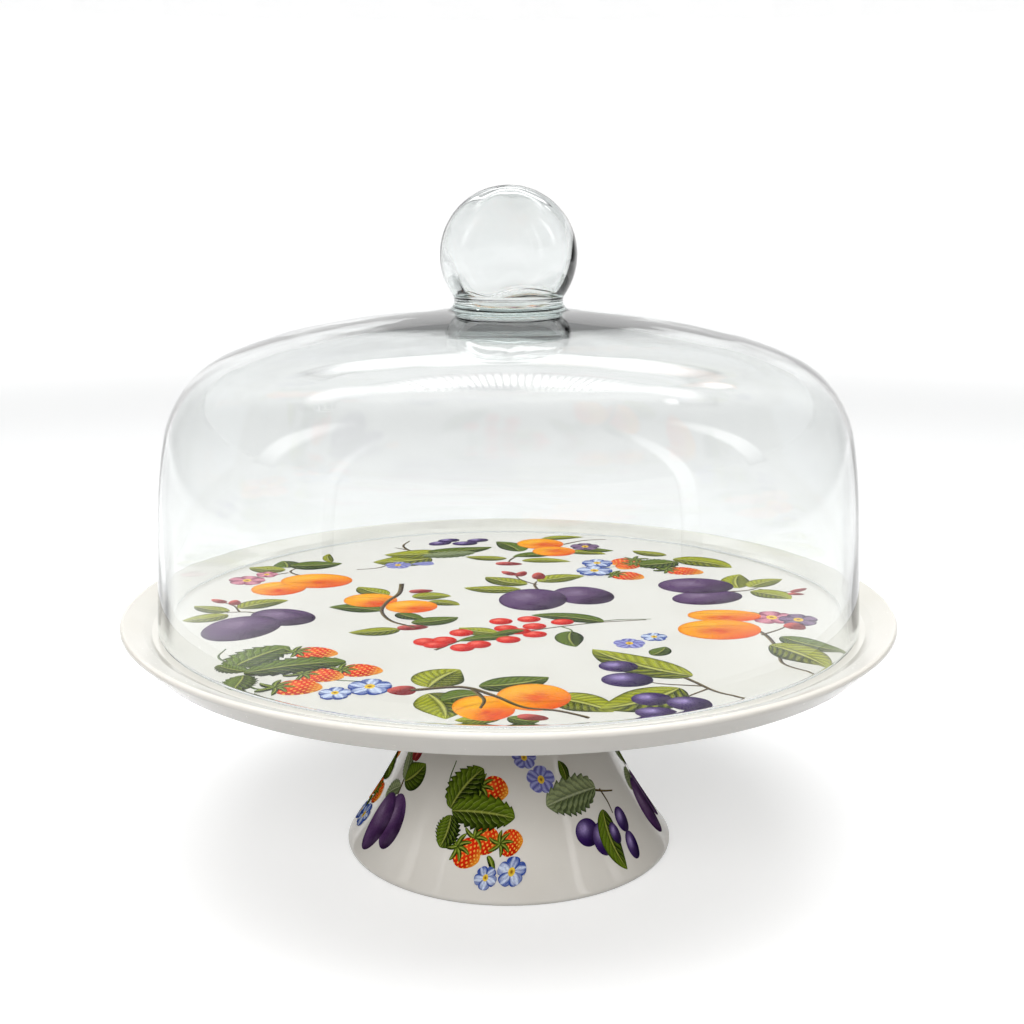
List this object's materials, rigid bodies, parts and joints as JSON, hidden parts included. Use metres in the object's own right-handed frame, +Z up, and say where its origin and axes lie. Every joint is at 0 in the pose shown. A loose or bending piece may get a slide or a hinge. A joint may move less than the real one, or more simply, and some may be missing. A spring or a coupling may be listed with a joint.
{
  "type": "cake stand with dome",
  "caption": "Footed round ceramic cake stand with a printed well, a raised rim and a lift-off blown glass dome with a hollow ball knob.",
  "frame": {"origin": "centre of the circle on which the foot stands, on the surface it stands on", "axes": "+Z up along the stand's axis; every piece is turned about it, so X and Y are any two level directions"},
  "size_m": [0.305, 0.305, 0.2649],
  "materials": {
    "glaze": "clear gloss over a warm white body, with fired fruit transfers",
    "slip": "matt",
    "dome_glass": "clear, faintly grey-green where thick",
    "knob_glass": "clear, faintly grey-green where thick"
  },
  "bodies": {
    "stand": {"plate": "glaze", "pedestal": "glaze", "bond_ring": "slip"},
    "lid": {"dome": "dome_glass", "knob": "knob_glass", "knob_gather": "knob_glass"}
  },
  "joints": [
    {"name": "dome_lift", "type": "slide", "parent": "stand", "child": "lid", "axis": [0, 0, 1], "range_m": [0, 0.2]}
  ]
}
